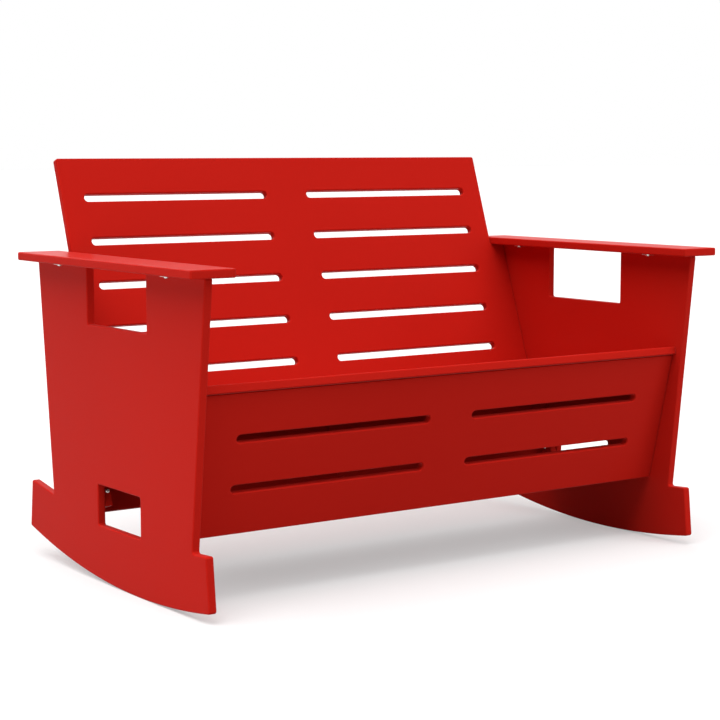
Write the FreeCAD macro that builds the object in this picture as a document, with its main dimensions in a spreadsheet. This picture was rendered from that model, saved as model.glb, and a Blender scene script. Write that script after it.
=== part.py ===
import FreeCAD, Part
import math
import os
import Sketcher

# A rocking bench for two, cut from one thickness of plastic sheet.
# X runs across the bench, Y from front to rear and Z up. The origin is on the floor,
# below the middle of the whole bench, and the arms are level.

# Driving dimensions, in millimetres and degrees.
sizes = {
    # the sheet and how its pieces are finished
    "sheet_thickness": 17,      # every panel and cleat is cut from this sheet
    "edge_round": 3,            # rounding of a panel's face edges
    "corner_round": 5,          # rounding of a panel's corners, through the sheet
    "seam": 0.2,                # left between two pieces that butt together
    "clear_width": 1200,        # between the inner faces of the two sides
    # the two sides, with their rocker feet
    "side_middle": -20.45,      # depth at which a side's middle stands
    "side_height": 638.3,       # floor to the arm's underside
    "side_top_depth": 687.2,    # front to rear, along the top edge
    "side_lean": 6.27,          # each upright edge leans in by this, going down
    "rocker_middle": -91.45,    # depth at which the rocker meets the floor
    "rocker_radius": 1801,
    "front_foot_length": 60.8,  # side's front edge to the foot's lower corner
    "front_foot_root": 124,     # height of the foot's top where it leaves the side
    "front_foot_tip": 127,      # height of the foot's top at its tip
    "rear_foot_length": 114.6,  # side's rear edge to the foot's lower corner
    "rear_foot_root": 148,
    "rear_foot_tip": 165,
    "foot_setback": 10.7,       # a foot's tip stands back this far at its top
    "notch_width": 244,         # hand opening under the arm
    "notch_depth": 118.7,
    "window_width": 176,        # carrying window near the floor
    "window_height": 83,
    "window_bottom": 116.5,
    # the two arms
    "arm_length": 721,
    "arm_width": 96,
    "arm_inset": 38.5,          # the arm reaches inside the side's inner face
    "arm_lead": 2.5,            # the arm's middle stands ahead of the side's middle
    # the back
    "recline": 19.09,
    "back_bottom": 135.7,       # floor to the lower front edge
    "back_reach": 118.9,        # side's middle to the lower front edge
    "back_top_height": 849.2,   # floor to the front top edge
    "arm_clearance": 0.5,       # between the back's upper part and an arm
    # the apron
    "apron_lean": 13.2,
    "apron_ahead": 229,         # side's middle to the lower front edge
    "apron_bottom": 136,        # floor to the lower front edge
    # the seat
    "seat_slope": 13.5,
    "seat_front_height": 421,   # floor to the lower front edge
    "seat_overhang": 9.8,       # seat's front beyond the apron, along the seat
    # the long slots in the back and the apron
    "slot_height": 18,
    "slot_inner_end": 51.5,     # from the middle of the bench
    "slot_outer_end": 512,
    "back_slot_first": 88,      # back's top edge to the highest slot's middle
    "back_slot_pitch": 96.4,
    "back_slot_rows": 5,
    "apron_slot_first": 93.8,   # apron's lower edge to the lowest slot's middle
    "apron_slot_pitch": 102.7,
    "apron_slot_rows": 2,
    # the rib under the middle of the seat, and the cleats in the corners
    "rib_bottom": 150,
    "cleat_depth": 35,
    "cleat_round": 1.5,
    "cleat_lift": 6,            # panel's lower edge to a cleat's lower end
    "rib_cleat_inset": 25,      # a rib cleat is shorter than an end cleat, at each end
    # the straps that hold the arms
    "strap_width": 20,
    "strap_length": 58,
    "strap_thickness": 3,
    "strap_reach": 221,         # side's middle to a strap's middle
    "strap_hole_offset": 18.5,  # strap's middle to an arm screw
    # the screws
    "shank_radius": 2.4,
    "head_radius": 5,
    "head_height": 3.8,
    "drill_clearance": 0.15,    # around a shank, on the radius
    "short_screw": 28,          # through a cleat's thickness
    "long_screw": 45,           # through a cleat's depth
    "arm_screw": 15,            # up through a strap into an arm
    "strap_screw": 38,          # down through a strap into a side
    "screw_point": 4,
    "screw_end_margin": 16,     # cleat's end to its first screw
    "screw_stagger": 15,        # between crossing screws, along a cleat
    "long_cleat_screws": 4,
    "back_cleat_screws": 3,
    "rib_cleat_screws": 3,
}

doc = FreeCAD.newDocument("rocking_bench")
sheet = doc.addObject("Spreadsheet::Sheet", "size")
for row, (alias, value) in enumerate(sizes.items(), start=1):
    sheet.set(f"A{row}", alias)
    sheet.set(f"B{row}", str(value))
    sheet.setAlias(f"B{row}", alias)
doc.recompute()


def number(expression):
    """The value of an expression of the sheet's sizes."""
    return float(sheet.evalExpression(expression))


# Places that several pieces share, each an expression of the sizes.
HALF_CLEAR = "(size.clear_width / 2)"
PANEL_HALF = f"({HALF_CLEAR} - size.seam)"
SIDE_FRONT = "(size.side_middle - size.side_top_depth / 2)"
SIDE_REAR = "(size.side_middle + size.side_top_depth / 2)"
# where the back's lower front edge lies, and the back's length up its slope
BACK_Y = "(size.side_middle + size.back_reach)"
BACK_Z = "size.back_bottom"
BACK_LENGTH = "((size.back_top_height - size.back_bottom) / cos(size.recline))"
# where the apron's lower front edge lies
APRON_Y = "(size.side_middle - size.apron_ahead)"
APRON_Z = "size.apron_bottom"
# where the seat's lower front edge lies: it overhangs the apron's leaning face
SEAT_Z = "size.seat_front_height"
SEAT_Y = (f"({APRON_Y} - ({SEAT_Z} - size.seat_overhang * sin(size.seat_slope)"
          f" - {APRON_Z}) * tan(size.apron_lean)"
          " - size.seat_overhang * cos(size.seat_slope))")
# along the seat's underside, from its front edge: the apron's front face and rear face
CORNER = "(size.apron_lean + size.seat_slope)"
SEAT_TO_APRON_REAR = (f"(size.seat_overhang + size.sheet_thickness / cos({CORNER}))")
# along the seat's underside to the back's front face, less the seam
SEAT_LENGTH = (f"((({BACK_Y} - {SEAT_Y}) * cos(size.recline)"
               f" - ({BACK_Z} - {SEAT_Z}) * sin(size.recline))"
               " / cos(size.recline - size.seat_slope) - size.seam)")
# up the apron's front face to the seat's underside, less the seam
APRON_LENGTH = (f"(({SEAT_Z} - size.seat_overhang * sin(size.seat_slope) - {APRON_Z})"
                " / cos(size.apron_lean) - size.seam)")
APRON_BEVEL = f"(size.sheet_thickness * tan({CORNER}))"
# up the back's front face to the seat's underside
BACK_TO_SEAT = (f"(({SEAT_Z} - {SEAT_LENGTH} * sin(size.seat_slope) - {BACK_Z})"
                " / cos(size.recline))")


def origin_plane(body, role):
    """One of a body's own three planes, such as XY_Plane."""
    return [f for f in body.Origin.OriginFeatures if f.Role == role][0]


def sketch_on(body, name, role):
    """An empty sketch on one of the body's own planes."""
    sketch = body.newObject("Sketcher::SketchObject", name)
    sketch.AttachmentSupport = (origin_plane(body, role), [""])
    sketch.MapMode = "FlatFace"
    return sketch


def hold(sketch, kind, geometry, end, expression):
    """Keeps a sketch point at a distance, across or up, from the sketch's origin."""
    rule = Sketcher.Constraint(kind, -1, 1, geometry, end, number(expression))
    index = sketch.addConstraint(rule)
    sketch.setExpression(f"Constraints[{index}]", expression)


def vector(across, up):
    """A point of a sketch, from two expressions."""
    return FreeCAD.Vector(number(across), number(up), 0)


def polygon(sketch, points):
    """A closed outline of straight lines through points given as pairs of expressions."""
    count = len(points)
    lines = []
    for index, (across, up) in enumerate(points):
        start = vector(across, up)
        end = vector(*points[(index + 1) % count])
        lines.append(sketch.addGeometry(Part.LineSegment(start, end), False))
    for index, (across, up) in enumerate(points):
        following = lines[(index + 1) % count]
        sketch.addConstraint(Sketcher.Constraint("Coincident", lines[index], 2, following, 1))
        hold(sketch, "DistanceX", lines[index], 1, across)
        hold(sketch, "DistanceY", lines[index], 1, up)
    return lines


def rectangle(sketch, left, right, low, high):
    """A closed rectangle between two places across and two heights."""
    return polygon(sketch, [(left, low), (right, low), (right, high), (left, high)])


def pad(body, sketch, length, both_ways=False, flipped=False):
    """The sketch given a thickness."""
    feature = body.newObject("PartDesign::Pad", sketch.Name + "_pad")
    feature.Profile = sketch
    feature.setExpression("Length", length)
    feature.Midplane = both_ways
    feature.Reversed = flipped
    doc.recompute()
    return feature


def pocket(body, sketch, length):
    """The sketch cut through the piece, to both sides of its plane."""
    feature = body.newObject("PartDesign::Pocket", sketch.Name + "_pocket")
    feature.Profile = sketch
    feature.setExpression("Length", length)
    feature.Midplane = True
    doc.recompute()
    return feature


def fillet(body, base, names, radius, tag):
    """The named edges or faces of a feature rounded."""
    feature = body.newObject("PartDesign::Fillet", f"{body.Name}_{tag}")
    feature.Base = (base, names)
    feature.setExpression("Radius", radius)
    doc.recompute()
    return feature


def round_corners(body, base, axis):
    """Rounds the straight edges that run through the sheet, along the axis."""
    names = []
    for index, edge in enumerate(base.Shape.Edges, start=1):
        if len(edge.Vertexes) < 2:
            continue
        run = edge.Vertexes[1].Point - edge.Vertexes[0].Point
        if run.Length > 0 and abs(run.normalize().dot(axis)) > 0.999:
            names.append(f"Edge{index}")
    return fillet(body, base, names, "size.corner_round", "corners")


def round_faces(body, base, axis):
    """Rounds every edge of the sheet's two broad faces, which look along the axis."""
    names = []
    for index, face in enumerate(base.Shape.Faces, start=1):
        if abs(face.normalAt(0, 0).dot(axis)) > 0.999 and face.Surface.TypeId == "Part::GeomPlane":
            names.append(f"Face{index}")
    return fillet(body, base, names, "size.edge_round", "edges")


ACROSS = FreeCAD.Vector(1, 0, 0)
REARWARD = FreeCAD.Vector(0, 1, 0)
UPWARD = FreeCAD.Vector(0, 0, 1)


def new_body(name):
    """A body for a piece before its screw holes are drilled."""
    return doc.addObject("PartDesign::Body", name)


def place(piece, across, depth, height, turn="0"):
    """Puts a piece at a place, turned about the axis that runs across the bench."""
    spot = f"vector({across}; {depth}; {height})"
    piece.setExpression("Placement", f"placement({spot}; rotation(vector(1; 0; 0); {turn}))")


# The sides

def lean_in(height):
    """How far a side's upright edges lean in at a height below its top."""
    return f"((size.side_height - ({height})) * tan(size.side_lean))"


def rocker_height(depth):
    """How high the rocker's arc has risen above the floor at a depth."""
    run = f"(({depth}) - size.rocker_middle)"
    return f"(size.rocker_radius - sqrt(size.rocker_radius ^ 2 - {run} ^ 2))"


def side_outline(sketch):
    """The side's edge: hand notch, leaning uprights, two feet and the rocker's arc."""
    notch_front = "size.side_middle - size.notch_width / 2"
    notch_rear = "size.side_middle + size.notch_width / 2"
    notch_floor = "size.side_height - size.notch_depth"
    front_root = f"({SIDE_FRONT} + {lean_in('size.front_foot_root')})"
    rear_root = f"({SIDE_REAR} - {lean_in('size.rear_foot_root')})"
    front_corner = f"({front_root} - size.front_foot_length)"
    rear_corner = f"({rear_root} + size.rear_foot_length)"
    points = [
        (front_corner, rocker_height(front_corner)),
        (f"{front_corner} + size.foot_setback", "size.front_foot_tip"),
        (front_root, "size.front_foot_root"),
        (SIDE_FRONT, "size.side_height"),
        (notch_front, "size.side_height"),
        (notch_front, notch_floor),
        (notch_rear, notch_floor),
        (notch_rear, "size.side_height"),
        (SIDE_REAR, "size.side_height"),
        (rear_root, "size.rear_foot_root"),
        (f"{rear_corner} - size.foot_setback", "size.rear_foot_tip"),
        (rear_corner, rocker_height(rear_corner)),
    ]
    lines = []
    for start, end in zip(points[:-1], points[1:]):
        lines.append(sketch.addGeometry(Part.LineSegment(vector(*start), vector(*end)), False))
    for before, after in zip(lines[:-1], lines[1:]):
        sketch.addConstraint(Sketcher.Constraint("Coincident", before, 2, after, 1))
    for line, (across, up) in zip(lines[1:], points[1:-1]):
        hold(sketch, "DistanceX", line, 1, across)
        hold(sketch, "DistanceY", line, 1, up)
    centre = vector("size.rocker_middle", "size.rocker_radius")
    circle = Part.Circle(centre, UPWARD, number("size.rocker_radius"))
    first = circle.parameter(vector(*points[0]))
    last = circle.parameter(vector(*points[-1]))
    rocker = sketch.addGeometry(Part.ArcOfCircle(circle, first, last), False)
    sketch.addConstraint(Sketcher.Constraint("Coincident", rocker, 1, lines[0], 1))
    sketch.addConstraint(Sketcher.Constraint("Coincident", rocker, 2, lines[-1], 2))
    hold(sketch, "DistanceX", rocker, 3, "size.rocker_middle")
    hold(sketch, "DistanceY", rocker, 3, "size.rocker_radius")
    hold(sketch, "DistanceX", lines[0], 1, front_corner)
    hold(sketch, "DistanceX", lines[-1], 2, rear_corner)
    radius = sketch.addConstraint(Sketcher.Constraint("Radius", rocker, number("size.rocker_radius")))
    sketch.setExpression(f"Constraints[{radius}]", "size.rocker_radius")


def make_side(name, across):
    """One side panel, with its window, rounded all round and recessed for two straps."""
    body = new_body(name)
    outline = sketch_on(body, name + "_outline", "YZ_Plane")
    side_outline(outline)
    blank = pad(body, outline, "size.sheet_thickness")
    window = sketch_on(body, name + "_window", "YZ_Plane")
    rectangle(window,
              "size.side_middle - size.window_width / 2",
              "size.side_middle + size.window_width / 2",
              "size.window_bottom",
              "size.window_bottom + size.window_height")
    opened = pocket(body, window, "4 * size.sheet_thickness")
    cornered = round_corners(body, opened, ACROSS)
    round_faces(body, cornered, ACROSS)
    recess = sketch_on(body, name + "_recess", "YZ_Plane")
    for sign in ("-", "+"):
        middle = f"size.side_middle {sign} size.strap_reach"
        rectangle(recess,
                  f"{middle} - size.strap_width / 2 - size.seam",
                  f"{middle} + size.strap_width / 2 + size.seam",
                  "size.side_height - size.strap_thickness - 2 * size.seam",
                  "size.side_height + size.sheet_thickness")
    pocket(body, recess, "4 * size.sheet_thickness")
    place(body, across, "0", "0")
    return body


left_side = make_side("left_side_blank", f"(0 - {HALF_CLEAR} - size.sheet_thickness)")
right_side = make_side("right_side_blank", HALF_CLEAR)


# The arms, each laid on a side's top edge

def make_arm(name, inner, outer):
    """One flat arm, from its inner edge to its outer edge."""
    body = new_body(name)
    outline = sketch_on(body, name + "_outline", "XY_Plane")
    rectangle(outline, inner, outer,
              "size.side_middle - size.arm_lead - size.arm_length / 2",
              "size.side_middle - size.arm_lead + size.arm_length / 2")
    blank = pad(body, outline, "size.sheet_thickness")
    cornered = round_corners(body, blank, UPWARD)
    round_faces(body, cornered, UPWARD)
    place(body, "0", "0", "size.side_height")
    return body


ARM_INNER = f"({HALF_CLEAR} - size.arm_inset)"
ARM_OUTER = f"({ARM_INNER} + size.arm_width)"
left_arm = make_arm("left_arm_blank", f"0 - {ARM_OUTER}", f"0 - {ARM_INNER}")
right_arm = make_arm("right_arm_blank", ARM_INNER, ARM_OUTER)


# The long slots, cut in rows and mirrored to the other half

def cut_slots(body, lowest, pitch, rows):
    """One slot with round ends, repeated up the panel and mirrored across it."""
    sketch = sketch_on(body, body.Name + "_slot", "XZ_Plane")
    radius = "size.slot_height / 2"
    near = "size.slot_inner_end + size.slot_height / 2"
    far = "size.slot_outer_end - size.slot_height / 2"
    low = f"{lowest} - {radius}"
    high = f"{lowest} + {radius}"
    straight_down = FreeCAD.Vector(0, 0, 1)
    bottom = sketch.addGeometry(Part.LineSegment(vector(near, low), vector(far, low)), False)
    top = sketch.addGeometry(Part.LineSegment(vector(far, high), vector(near, high)), False)
    round_far = Part.Circle(vector(far, lowest), straight_down, number(radius))
    round_near = Part.Circle(vector(near, lowest), straight_down, number(radius))
    quarter = math.pi / 2
    far_end = sketch.addGeometry(Part.ArcOfCircle(round_far, -quarter, quarter), False)
    near_end = sketch.addGeometry(Part.ArcOfCircle(round_near, quarter, 3 * quarter), False)
    sketch.addConstraint(Sketcher.Constraint("Tangent", bottom, 2, far_end, 1))
    sketch.addConstraint(Sketcher.Constraint("Tangent", far_end, 2, top, 1))
    sketch.addConstraint(Sketcher.Constraint("Tangent", top, 2, near_end, 1))
    sketch.addConstraint(Sketcher.Constraint("Tangent", near_end, 2, bottom, 1))
    hold(sketch, "DistanceX", far_end, 3, far)
    hold(sketch, "DistanceX", near_end, 3, near)
    hold(sketch, "DistanceY", bottom, 1, low)
    hold(sketch, "DistanceY", bottom, 2, low)
    hold(sketch, "DistanceY", top, 1, high)
    slot = pocket(body, sketch, "4 * size.sheet_thickness")
    pattern = body.newObject("PartDesign::MultiTransform", body.Name + "_slots")
    pattern.Originals = [slot]
    upward = body.newObject("PartDesign::LinearPattern", body.Name + "_rows")
    upward.Direction = (sketch, ["V_Axis"])
    upward.setExpression("Length", f"({pitch}) * ({rows} - 1)")
    upward.setExpression("Occurrences", rows)
    across = body.newObject("PartDesign::Mirrored", body.Name + "_halves")
    across.MirrorPlane = (sketch, ["V_Axis"])
    pattern.Transformations = [upward, across]
    body.Tip = pattern
    doc.recompute()
    return pattern


# The back, reclined, with ears that reach the sides below the arms

def make_back():
    """The reclined back panel, in its own frame: Y through the sheet and Z up the slope."""
    body = new_body("back_panel_blank")
    outline = sketch_on(body, "back_outline", "XZ_Plane")
    upper = f"({ARM_INNER} - size.arm_clearance)"
    shoulder = f"((size.side_height - size.seam - {BACK_Z}) / cos(size.recline))"
    polygon(outline, [
        (f"0 - {PANEL_HALF}", "0"),
        (PANEL_HALF, "0"),
        (PANEL_HALF, shoulder),
        (upper, shoulder),
        (upper, BACK_LENGTH),
        (f"0 - {upper}", BACK_LENGTH),
        (f"0 - {upper}", shoulder),
        (f"0 - {PANEL_HALF}", shoulder),
    ])
    blank = pad(body, outline, "size.sheet_thickness", flipped=True)
    round_corners(body, blank, REARWARD)
    lowest = (f"({BACK_LENGTH} - size.back_slot_first"
              " - size.back_slot_pitch * (size.back_slot_rows - 1))")
    slotted = cut_slots(body, lowest, "size.back_slot_pitch", "size.back_slot_rows")
    round_faces(body, slotted, REARWARD)
    place(body, "0", BACK_Y, BACK_Z, "0 - size.recline")
    return body


back = make_back()


# The apron, leaning forward, with its top bevelled to the seat's underside

def make_apron():
    """The front apron, in its own frame: Y through the sheet and Z up its face."""
    body = new_body("front_apron_blank")
    section = sketch_on(body, "apron_section", "YZ_Plane")
    polygon(section, [
        ("0", "0"),
        ("size.sheet_thickness", "0"),
        ("size.sheet_thickness", f"{APRON_LENGTH} - {APRON_BEVEL}"),
        ("0", APRON_LENGTH),
    ])
    pad(body, section, f"2 * {PANEL_HALF}", both_ways=True)
    slotted = cut_slots(body, "size.apron_slot_first", "size.apron_slot_pitch",
                        "size.apron_slot_rows")
    round_faces(body, slotted, REARWARD)
    place(body, "0", APRON_Y, APRON_Z, "size.apron_lean")
    return body


apron = make_apron()


# The seat, sloping down to the back, with its rear edge bevelled to the back's face

def make_seat():
    """The seat panel, in its own frame: Y along the seat and Z through the sheet."""
    body = new_body("seat_panel_blank")
    section = sketch_on(body, "seat_section", "YZ_Plane")
    rear_bevel = "size.sheet_thickness * tan(size.recline - size.seat_slope)"
    polygon(section, [
        ("0", "0"),
        (SEAT_LENGTH, "0"),
        (f"{SEAT_LENGTH} + {rear_bevel}", "size.sheet_thickness"),
        ("0", "size.sheet_thickness"),
    ])
    blank = pad(body, section, f"2 * {PANEL_HALF}", both_ways=True)
    round_faces(body, blank, UPWARD)
    place(body, "0", SEAT_Y, SEAT_Z, "0 - size.seat_slope")
    return body


seat = make_seat()


# The rib below the middle of the seat, from the apron to the back

def make_rib():
    """The upright rib, whose edges lie a seam away from the apron, the seat and the back."""
    body = new_body("center_rib_blank")
    outline = sketch_on(body, "rib_outline", "YZ_Plane")
    front_low = (f"({APRON_Y} + (size.sheet_thickness + size.seam) / cos(size.apron_lean)"
                 f" - (size.rib_bottom - {APRON_Z}) * tan(size.apron_lean))")
    rear_low = (f"({BACK_Y} - size.seam / cos(size.recline)"
                f" + (size.rib_bottom - {BACK_Z}) * tan(size.recline))")
    front_run = f"({SEAT_TO_APRON_REAR} + 2 * size.seam)"
    rear_run = f"({SEAT_LENGTH} - size.seam)"

    def under_seat(run):
        """The point a seam below the seat's underside, at a distance along it."""
        depth = f"{SEAT_Y} + {run} * cos(size.seat_slope) - size.seam * sin(size.seat_slope)"
        height = f"{SEAT_Z} - {run} * sin(size.seat_slope) - size.seam * cos(size.seat_slope)"
        return depth, height

    polygon(outline, [
        (front_low, "size.rib_bottom"),
        (rear_low, "size.rib_bottom"),
        under_seat(rear_run),
        under_seat(front_run),
    ])
    blank = pad(body, outline, "size.sheet_thickness", both_ways=True)
    cornered = round_corners(body, blank, ACROSS)
    round_faces(body, cornered, ACROSS)
    place(body, "0", "0", "0")
    return body


rib = make_rib()


# The cleats, sticks of the same sheet screwed into the corners

def make_stick(name, panel, corner, extent):
    """A rounded stick in a panel's own frame, from its lowest corner and its three sizes."""
    body = new_body(name)
    stick = body.newObject("PartDesign::AdditiveBox", name + "_stick")
    for side, length in zip(("Length", "Width", "Height"), extent):
        stick.setExpression(side, length)
    doc.recompute()
    eased = body.newObject("PartDesign::Fillet", name + "_eased")
    eased.Base = (stick, [])
    eased.UseAllEdges = True
    eased.setExpression("Radius", "size.cleat_round")
    body.Tip = eased
    spot = "; ".join(corner)
    still = "rotation(vector(1; 0; 0); 0)"
    body.setExpression("Placement", f"{panel.Name}.Placement * placement(vector({spot}); {still})")
    doc.recompute()
    return body


# where a cleat starts across the bench, at each end and beside the rib
CLEAT_START = {
    "left": f"(0 - {PANEL_HALF})",
    "right": f"({PANEL_HALF} - size.sheet_thickness)",
    "rib": "(size.sheet_thickness / 2 + size.seam)",
}
BEHIND_APRON = "(size.sheet_thickness + size.seam)"
CLEAT_BEFORE = "(0 - size.seam - size.cleat_depth)"
# each panel that cleats hold: a cleat's near face, its screws' heads and their direction
HELD = {
    "apron": (apron, BEHIND_APRON, f"({BEHIND_APRON} + size.cleat_depth)", "-Y"),
    "back": (back, CLEAT_BEFORE, CLEAT_BEFORE, "+Y"),
    "seat": (seat, CLEAT_BEFORE, CLEAT_BEFORE, "+Z"),
}
# lengths of the end cleats, which stop short of the seat's underside
APRON_CLEAT = (f"({APRON_LENGTH} - {APRON_BEVEL} - size.cleat_lift"
               f" - size.cleat_depth * tan({CORNER}) - size.seam / cos({CORNER}))")
BACK_CLEAT = (f"({BACK_TO_SEAT} - size.cleat_lift - 2 * size.seam"
              " - (size.cleat_depth + size.seam) * tan(size.recline - size.seat_slope))")
# a seat cleat stops short of the other cleats and of the screw heads on them
CLEAT_AND_HEAD = "(size.cleat_depth + size.head_height + 3 * size.seam)"
SEAT_CLEAT_START = (f"({SEAT_TO_APRON_REAR} + {CLEAT_AND_HEAD} / cos({CORNER})"
                    f" + (size.cleat_depth + size.seam) * tan({CORNER}))")
SEAT_CLEAT_END = (f"({SEAT_LENGTH} - {CLEAT_AND_HEAD} / cos(size.recline - size.seat_slope)"
                  " - (size.cleat_depth + size.seam) * tan(size.recline - size.seat_slope))")
SEAT_CLEAT = f"({SEAT_CLEAT_END} - {SEAT_CLEAT_START})"
# start, length and number of crossing screws of the cleats at the bench's ends
END_CLEATS = {
    "apron": ("size.cleat_lift", APRON_CLEAT, "size.long_cleat_screws"),
    "back": ("size.cleat_lift", BACK_CLEAT, "size.back_cleat_screws"),
    "seat": (SEAT_CLEAT_START, SEAT_CLEAT, "size.long_cleat_screws"),
}


def rib_cleat(panel):
    """The rib's cleat on a panel: like the end cleats, but shorter at each end."""
    start, run, _ = END_CLEATS[panel]
    inset = f"({start} + size.rib_cleat_inset)"
    return inset, f"({run} - 2 * size.rib_cleat_inset)", "size.rib_cleat_screws"


def cleat_plan(end, panel):
    """Start, length and number of crossing screws of one cleat."""
    return rib_cleat(panel) if end == "rib" else END_CLEATS[panel]


def beside(panel, across, depth, along):
    """A spot in a panel's own frame: cleats run along Y on the seat, and else along Z."""
    return (across, along, depth) if panel == "seat" else (across, depth, along)


cleats = {}
for end, across in CLEAT_START.items():
    for panel, (body, near, _, _) in HELD.items():
        start, run, _ = cleat_plan(end, panel)
        corner = beside(panel, across, near, start)
        extent = beside(panel, "size.sheet_thickness", "size.cleat_depth", run)
        cleats[end, panel] = make_stick(f"{end}_{panel}_cleat_blank", body, corner, extent)


# The straps, each lying across a side's top edge below the arm

def make_strap(name, side_axis, sign):
    """A flat metal strap with round-cornered ends, centred on a side's thickness."""
    body = new_body(name)
    outline = sketch_on(body, name + "_outline", "XY_Plane")
    rectangle(outline, "0 - size.strap_length / 2", "size.strap_length / 2",
              "0 - size.strap_width / 2", "size.strap_width / 2")
    blank = pad(body, outline, "size.strap_thickness")
    round_corners(body, blank, UPWARD)
    place(body, side_axis, f"(size.side_middle {sign} size.strap_reach)",
          "(size.side_height - size.strap_thickness - size.seam)")
    return body


# the middle of each side's thickness, and the way to each strap from a side's middle
SIDE_AXIS = {
    "left": f"(0 - {HALF_CLEAR} - size.sheet_thickness / 2)",
    "right": f"({HALF_CLEAR} + size.sheet_thickness / 2)",
}
STRAP_WAY = {"front": "-", "rear": "+"}
straps = {}
for end, axis in SIDE_AXIS.items():
    for spot, sign in STRAP_WAY.items():
        straps[end, spot] = make_strap(f"{end}_{spot}_strap_blank", axis, sign)


# The screws, turned about Z with the head's underside at the origin and the point upward

def turned(name, profile):
    """A solid turned about its own Z axis from pairs of radius and height."""
    body = new_body(name)
    sketch = sketch_on(body, name + "_profile", "XZ_Plane")
    polygon(sketch, profile)
    feature = body.newObject("PartDesign::Revolution", name + "_turned")
    feature.Profile = sketch
    feature.ReferenceAxis = (sketch, ["V_Axis"])
    feature.Angle = 360
    doc.recompute()
    return body


def pan_screw(name, length):
    """A pan-head screw of a length, and the drill that clears its shank."""
    crown = "0 - size.head_height"
    screw = turned(name, [
        ("0", crown),
        ("0.6 * size.head_radius", crown),
        ("size.head_radius", "0 - 0.4 * size.head_height"),
        ("size.head_radius", "0"),
        ("size.shank_radius", "0"),
        ("size.shank_radius", f"{length} - size.screw_point"),
        ("0", length),
    ])
    reach = "size.shank_radius + size.drill_clearance"
    drill = turned(name + "_drill", [
        ("0", "0 - size.head_height"),
        (reach, "0 - size.head_height"),
        (reach, f"{length} - size.screw_point + size.drill_clearance"),
        ("0", f"{length} + 2 * size.drill_clearance"),
    ])
    return screw, drill


def flat_screw(name, length):
    """A countersunk screw whose flat head lies in a strap, and its drill."""
    sink = "0.8 * size.strap_thickness"
    width = "(size.head_radius - size.seam)"
    reach = "(size.shank_radius + size.drill_clearance)"
    screw = turned(name, [
        ("0", "0"),
        (width, "0"),
        ("size.shank_radius", sink),
        ("size.shank_radius", f"{length} - size.screw_point"),
        ("0", length),
    ])
    drill = turned(name + "_drill", [
        ("0", "0 - size.seam"),
        (f"{width} + 2 * size.drill_clearance", "0 - size.seam"),
        (f"{width} + 2 * size.drill_clearance", "0"),
        (reach, f"{sink} + size.drill_clearance"),
        (reach, f"{length} - size.screw_point + size.drill_clearance"),
        ("0", f"{length} + 2 * size.drill_clearance"),
    ])
    return screw, drill


short_screw = pan_screw("short_screw_master", "size.short_screw")
long_screw = pan_screw("long_screw_master", "size.long_screw")
arm_screw = pan_screw("arm_screw_master", "size.arm_screw")
strap_screw = flat_screw("strap_screw_master", "size.strap_screw")

# turns that point a screw along each direction
POINT = {
    "+X": "rotation(vector(0; 1; 0); 90)",
    "-X": "rotation(vector(0; 1; 0); -90)",
    "+Y": "rotation(vector(1; 0; 0); -90)",
    "-Y": "rotation(vector(1; 0; 0); 90)",
    "+Z": "rotation(vector(1; 0; 0); 0)",
    "-Z": "rotation(vector(1; 0; 0); 180)",
}


def copies(master, name, places):
    """One solid repeated, each copy placed by a frame, a spot and a direction."""
    links = []
    for index, (frame, spot, direction) in enumerate(places, start=1):
        link = doc.addObject("App::Link", f"{name}_{index}")
        link.LinkedObject = master
        local = f"placement(vector({'; '.join(spot)}); {POINT[direction]})"
        link.setExpression("Placement", f"{frame}.Placement * {local}" if frame else local)
        links.append(link)
    group = doc.addObject("Part::Compound", name)
    group.Links = links
    return group


groups = {}
drills = {}


def fasten(name, kind, places):
    """A group of like screws, and the same group of drills."""
    screw, drill = kind
    groups[name] = copies(screw, name, places)
    drills[name] = copies(drill, name + "_drills", places)


def screw_line(start, run, count, staggered):
    """Places along a cleat, evenly spaced between its two end margins."""
    first = f"({start} + size.screw_end_margin)"
    if staggered:
        first = f"({first} + size.screw_stagger)"
    step = f"(({run} - 2 * size.screw_end_margin - size.screw_stagger) / ({count} - 1))"
    return [f"({first} + {index} * {step})" for index in range(int(number(count)))]


screw_places = {group: [] for group in (*CLEAT_START, *HELD)}
for end, across in CLEAT_START.items():
    middle = f"({across} + size.sheet_thickness / 2)"
    head = across if end == "right" else f"({across} + size.sheet_thickness)"
    heading = "+X" if end == "right" else "-X"
    for panel, (body, near, far, direction) in HELD.items():
        start, run, count = cleat_plan(end, panel)
        half_deep = f"({near} + size.cleat_depth / 2)"
        for along in screw_line(start, run, count, False):
            spot = beside(panel, head, half_deep, along)
            screw_places[end].append((body.Name, spot, heading))
        for along in screw_line(start, run, count, True):
            spot = beside(panel, middle, far, along)
            screw_places[panel].append((body.Name, spot, direction))

# the node that holds the crossing screws of each end's cleats
CROSSING = {"left": "left_side_screws", "right": "right_side_screws", "rib": "rib_screws"}
for end, group in CROSSING.items():
    fasten(group, short_screw, screw_places[end])
for panel in HELD:
    fasten(f"{panel}_screws", long_screw, screw_places[panel])

below_strap = "(size.side_height - size.strap_thickness - size.seam)"
above_strap = "(size.side_height - size.seam)"
for end, axis in SIDE_AXIS.items():
    up_places = []
    down_places = []
    for sign in STRAP_WAY.values():
        depth = f"(size.side_middle {sign} size.strap_reach)"
        down_places.append((None, (axis, depth, above_strap), "-Z"))
        for shift in ("-", "+"):
            spot = (f"{axis} {shift} size.strap_hole_offset", depth, below_strap)
            up_places.append((None, spot, "+Z"))
    fasten(f"{end}_arm_screws", arm_screw, up_places)
    fasten(f"{end}_strap_screws", strap_screw, down_places)
doc.recompute()

# Each piece is its blank with the screw holes that pass through it.
nodes = dict(groups)


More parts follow.
